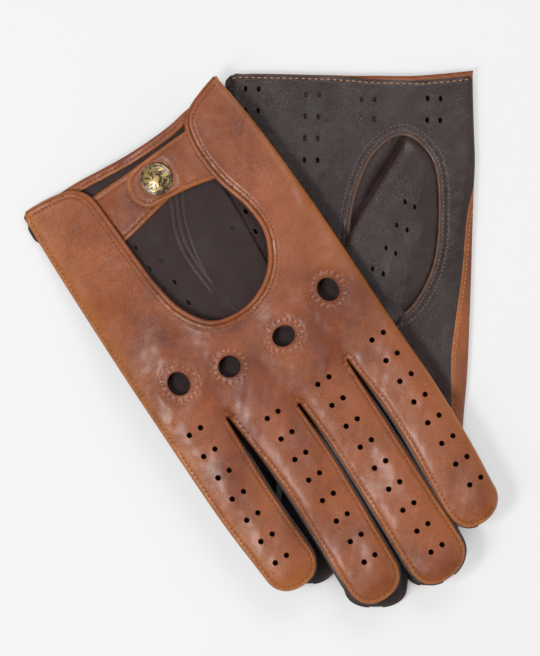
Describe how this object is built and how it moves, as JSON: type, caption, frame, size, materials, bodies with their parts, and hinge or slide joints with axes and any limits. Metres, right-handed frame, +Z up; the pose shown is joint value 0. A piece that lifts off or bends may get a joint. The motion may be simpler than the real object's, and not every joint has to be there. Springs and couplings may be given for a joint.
{
  "type": "leather gloves",
  "caption": "Pair of unlined leather driving gloves with open knuckles, a snapped wrist strap and perforated backs, left palm up under right back up.",
  "frame": {"origin": "on the resting plane, under the middle of the pair's bounding box", "axes": "+Z up from the resting plane; +Y towards the left glove's cuff; +X towards the left glove's thumb side"},
  "size_m": [0.218, 0.2496, 0.0232],
  "materials": {
    "tan_leather": "semi-gloss aniline leather with fine grain and lighter worn edges",
    "dark_leather": "dark brown leather with a soft low sheen",
    "antique_brass": "antiqued brass, dark in its recesses"
  },
  "bodies": {
    "left_index_finger": {"left_index_back": "tan_leather", "left_index_fourchette_inner": "dark_leather", "left_index_front": "dark_leather"},
    "left_middle_finger": {"left_middle_back": "tan_leather", "left_middle_fourchette_index_side": "dark_leather", "left_middle_fourchette_ring_side": "dark_leather", "left_middle_front": "dark_leather"},
    "left_ring_finger": {"left_ring_back": "tan_leather", "left_ring_fourchette_middle_side": "dark_leather", "left_ring_fourchette_pinky_side": "dark_leather", "left_ring_front": "dark_leather"},
    "left_pinky_finger": {"left_pinky_back": "tan_leather", "left_pinky_fourchette_inner": "dark_leather", "left_pinky_front": "dark_leather"},
    "left_strap_flap": {"left_over_strap": "tan_leather", "left_snap_cap": "antique_brass", "left_snap_socket": "antique_brass"},
    "left_thumb_stall": {"left_thumb": "dark_leather"},
    "left_hand": {"left_back_panel": "tan_leather", "left_cuff_facing": "tan_leather", "left_index_knuckle_hem": "tan_leather", "left_middle_knuckle_hem": "tan_leather", "left_opening_piping": "tan_leather", "left_palm_panel": "dark_leather", "left_pinky_knuckle_hem": "tan_leather", "left_ring_knuckle_hem": "tan_leather", "left_snap_post": "antique_brass", "left_snap_stud": "antique_brass", "left_thumb_welt": "dark_leather", "left_under_strap": "tan_leather"},
    "right_index_finger": {"right_index_back": "tan_leather", "right_index_fourchette_inner": "dark_leather", "right_index_front": "dark_leather"},
    "right_middle_finger": {"right_middle_back": "tan_leather", "right_middle_fourchette_index_side": "dark_leather", "right_middle_fourchette_ring_side": "dark_leather", "right_middle_front": "dark_leather"},
    "right_ring_finger": {"right_ring_back": "tan_leather", "right_ring_fourchette_middle_side": "dark_leather", "right_ring_fourchette_pinky_side": "dark_leather", "right_ring_front": "dark_leather"},
    "right_pinky_finger": {"right_pinky_back": "tan_leather", "right_pinky_fourchette_inner": "dark_leather", "right_pinky_front": "dark_leather"},
    "right_strap_flap": {"right_over_strap": "tan_leather", "right_snap_cap": "antique_brass", "right_snap_socket": "antique_brass"},
    "right_thumb_stall": {"right_thumb": "dark_leather"},
    "right_hand": {"right_back_panel": "tan_leather", "right_cuff_facing": "tan_leather", "right_index_knuckle_hem": "tan_leather", "right_middle_knuckle_hem": "tan_leather", "right_opening_piping": "tan_leather", "right_palm_panel": "dark_leather", "right_pinky_knuckle_hem": "tan_leather", "right_ring_knuckle_hem": "tan_leather", "right_snap_post": "antique_brass", "right_snap_stud": "antique_brass", "right_thumb_welt": "dark_leather", "right_under_strap": "tan_leather"}
  },
  "joints": [
    {"name": "right_glove_lift", "type": "slide", "parent": "left_hand", "child": "right_hand", "axis": [0, 0, 1], "range_m": [0, 0.15]},
    {"name": "right_index_bend", "type": "hinge", "parent": "right_hand", "child": "right_index_finger", "pos_m": [0.05177, -0.00008, 0.0233], "axis": [-0.829, -0.5592, 0], "range_deg": [0, 60]},
    {"name": "right_middle_bend", "type": "hinge", "parent": "right_hand", "child": "right_middle_finger", "pos_m": [0.03038, -0.01934, 0.0233], "axis": [-0.829, -0.5592, 0], "range_deg": [0, 60]},
    {"name": "right_ring_bend", "type": "hinge", "parent": "right_hand", "child": "right_ring_finger", "pos_m": [0.00593, -0.03583, 0.0233], "axis": [-0.829, -0.5592, 0], "range_deg": [0, 60]},
    {"name": "right_pinky_bend", "type": "hinge", "parent": "right_hand", "child": "right_pinky_finger", "pos_m": [-0.02663, -0.04211, 0.0233], "axis": [-0.829, -0.5592, 0], "range_deg": [0, 60]},
    {"name": "left_index_spread", "type": "hinge", "parent": "left_hand", "child": "left_index_finger", "pos_m": [0.09699, -0.01777, 0.0035], "axis": [0, 0, 1], "range_deg": [0, 15]},
    {"name": "left_middle_spread", "type": "hinge", "parent": "left_hand", "child": "left_middle_finger", "pos_m": [0.06921, -0.02114, 0.0035], "axis": [0, 0, 1], "range_deg": [0, 5]},
    {"name": "left_ring_spread", "type": "hinge", "parent": "left_hand", "child": "left_ring_finger", "pos_m": [0.01122, -0.01983, 0.0035], "axis": [0, 0, -1], "range_deg": [0, 5]},
    {"name": "left_pinky_spread", "type": "hinge", "parent": "left_hand", "child": "left_pinky_finger", "pos_m": [-0.01878, -0.00614, 0.0035], "axis": [0, 0, -1], "range_deg": [0, 15]},
    {"name": "left_thumb_swing", "type": "hinge", "parent": "left_hand", "child": "left_thumb_stall", "pos_m": [0.06453, 0.05498, 0.0094], "axis": [0, 0, 1], "range_deg": [0, 30]},
    {"name": "left_strap_open", "type": "hinge", "parent": "left_hand", "child": "left_strap_flap", "pos_m": [0.06713, 0.09894, 0.0018], "axis": [-0.0227, -0.9997, 0], "range_deg": [0, 150]},
    {"name": "right_thumb_swing", "type": "hinge", "parent": "right_hand", "child": "right_thumb_stall", "pos_m": [-0.00557, 0.04809, 0.0138], "axis": [0, 0, 1], "range_deg": [0, 30]},
    {"name": "right_strap_open", "type": "hinge", "parent": "right_hand", "child": "right_strap_flap", "pos_m": [-0.02884, 0.08546, 0.0214], "axis": [-0.5592, 0.829, 0], "range_deg": [0, 150]}
  ],
  "couplings": [
    {"joint": "left_middle_spread", "follows": "left_index_spread", "ratio": 0.33333},
    {"joint": "left_ring_spread", "follows": "left_pinky_spread", "ratio": 0.33333}
  ]
}
